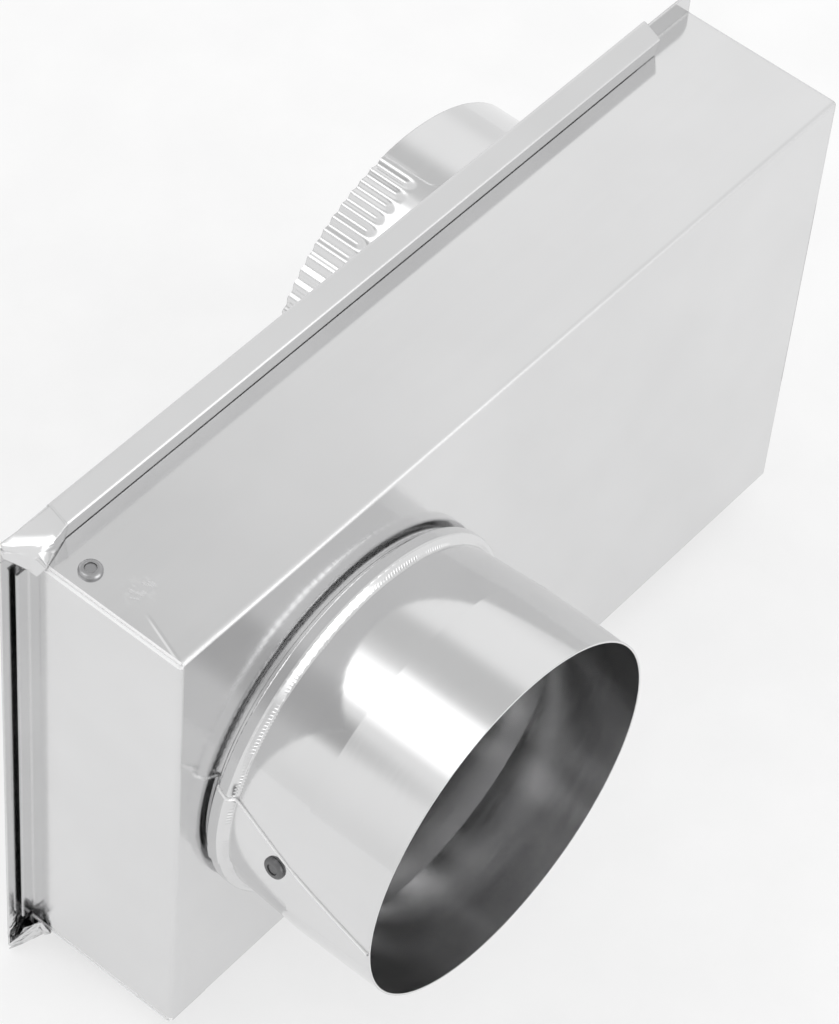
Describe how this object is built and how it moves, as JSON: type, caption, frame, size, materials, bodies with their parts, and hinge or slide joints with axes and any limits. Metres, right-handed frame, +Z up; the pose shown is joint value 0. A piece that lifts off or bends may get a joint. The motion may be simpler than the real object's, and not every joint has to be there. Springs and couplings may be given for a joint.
{
  "type": "periscope dryer vent",
  "caption": "Flat sheet-metal offset duct for a tumble dryer: a shallow tray with a round collar in front and a sliding back plate with a crimped collar.",
  "frame": {"origin": "centre of the front collar's mouth", "axes": "+X along the slide, from the pan's closed end to its open end; -Y out of the front collar's mouth; +Z up, across the pan's width"},
  "size_m": [0.2574, 0.138, 0.167],
  "materials": {
    "sheet": "mill finish, semi-gloss",
    "collar": "mill finish, semi-gloss",
    "rivet": "satin",
    "stem": "dull"
  },
  "bodies": {
    "pan": {"front_pan": "sheet", "front_collar": "collar", "pan_rivet_top": "rivet", "pan_rivet_top_stem": "stem", "pan_rivet_bottom": "rivet", "pan_rivet_bottom_stem": "stem", "front_seam_rivet": "rivet", "front_seam_rivet_stem": "stem"},
    "plate": {"sliding_plate": "sheet", "rear_collar": "collar"}
  },
  "joints": [
    {"name": "plate_slide", "type": "slide", "parent": "pan", "child": "plate", "axis": [-1, 0, 0], "range_m": [0, 0.1195]}
  ]
}
